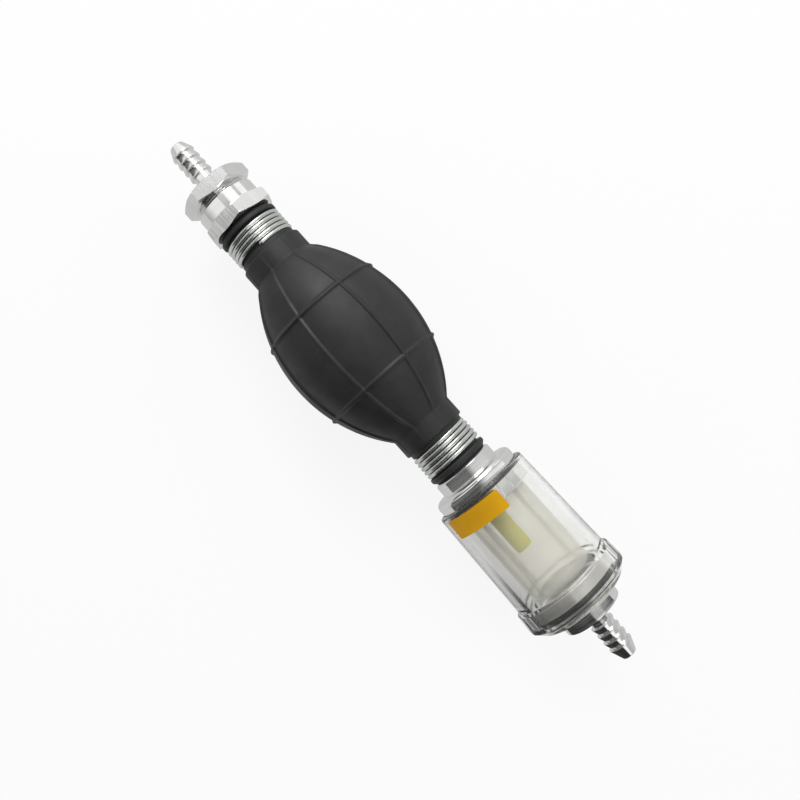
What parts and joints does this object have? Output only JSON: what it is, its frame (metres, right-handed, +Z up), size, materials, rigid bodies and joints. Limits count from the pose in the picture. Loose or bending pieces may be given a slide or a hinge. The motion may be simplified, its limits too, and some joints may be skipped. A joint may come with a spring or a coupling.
{
  "type": "siphon bulb pump",
  "caption": "Hand siphon pump: ribbed rubber bulb wire-clamped between two check-valve fittings, with barbed hose tails and a clear screw-on filter bowl.",
  "frame": {"origin": "middle of the bottom of the pump's box: under the middle of its length, at the height of the belly's lowest point", "axes": "the pump lies on its side; +X along the pump's axis from the outlet tail towards the inlet tail, +Z up, +Y across; the axis is 26.5 mm above the origin"},
  "size_m": [0.249, 0.053, 0.053],
  "materials": {
    "fitting_alloy": "bright turned",
    "clamp_wire": "zinc-plated drawn wire",
    "spring_steel": "drawn",
    "poppet_brass": "turned",
    "bulb_rubber": "matt moulded",
    "seal_rubber": "satin",
    "bowl_plastic": "clear moulded, slightly milky",
    "strainer_plastic": "natural",
    "tube_plastic": "translucent yellow-green",
    "sticker_film": "orange film, unprinted"
  },
  "bodies": {
    "root": {"outlet_hose_tail": "fitting_alloy", "outlet_washer": "fitting_alloy", "outlet_valve_body": "fitting_alloy", "outlet_spring": "spring_steel", "outlet_wire_clamp": "clamp_wire", "bulb": "bulb_rubber", "inlet_wire_clamp": "clamp_wire", "filter_head": "fitting_alloy", "inlet_spring": "spring_steel", "inlet_spring_plate": "spring_steel", "inlet_snap_ring": "spring_steel", "drop_tube": "tube_plastic", "filter_cage": "strainer_plastic", "filter_mesh": "strainer_plastic"},
    "outlet_poppet": {"outlet_poppet": "poppet_brass", "outlet_poppet_seal": "seal_rubber"},
    "inlet_poppet": {"inlet_poppet": "poppet_brass", "inlet_poppet_seal": "seal_rubber"},
    "gasket": {"bowl_gasket": "seal_rubber"},
    "bowl": {"bowl": "bowl_plastic", "bowl_sticker": "sticker_film", "base_plug": "fitting_alloy", "base_o_ring": "seal_rubber"}
  },
  "joints": [
    {"name": "outlet_valve_lift", "type": "slide", "parent": "root", "child": "outlet_poppet", "axis": [-1, 0, 0], "range_m": [0, 0.002], "stiffness_N_per_m": 40, "springref_m": -0.003, "deforming": ["outlet_spring"]},
    {"name": "inlet_valve_lift", "type": "slide", "parent": "root", "child": "inlet_poppet", "axis": [-1, 0, 0], "range_m": [0, 0.002], "stiffness_N_per_m": 40, "springref_m": -0.003, "deforming": ["inlet_spring"]},
    {"name": "bowl_advance", "type": "slide", "parent": "root", "child": "gasket", "axis": [1, 0, 0], "range_m": [0, 0.006]},
    {"name": "bowl_turn", "type": "hinge", "parent": "gasket", "child": "bowl", "pos_m": [0.045, 0, 0.0265], "axis": [1, 0, 0], "range_deg": [0, 1080]}
  ],
  "couplings": [
    {"joint": "bowl_advance", "follows": "bowl_turn", "m_per_rad": 0.0003183}
  ]
}
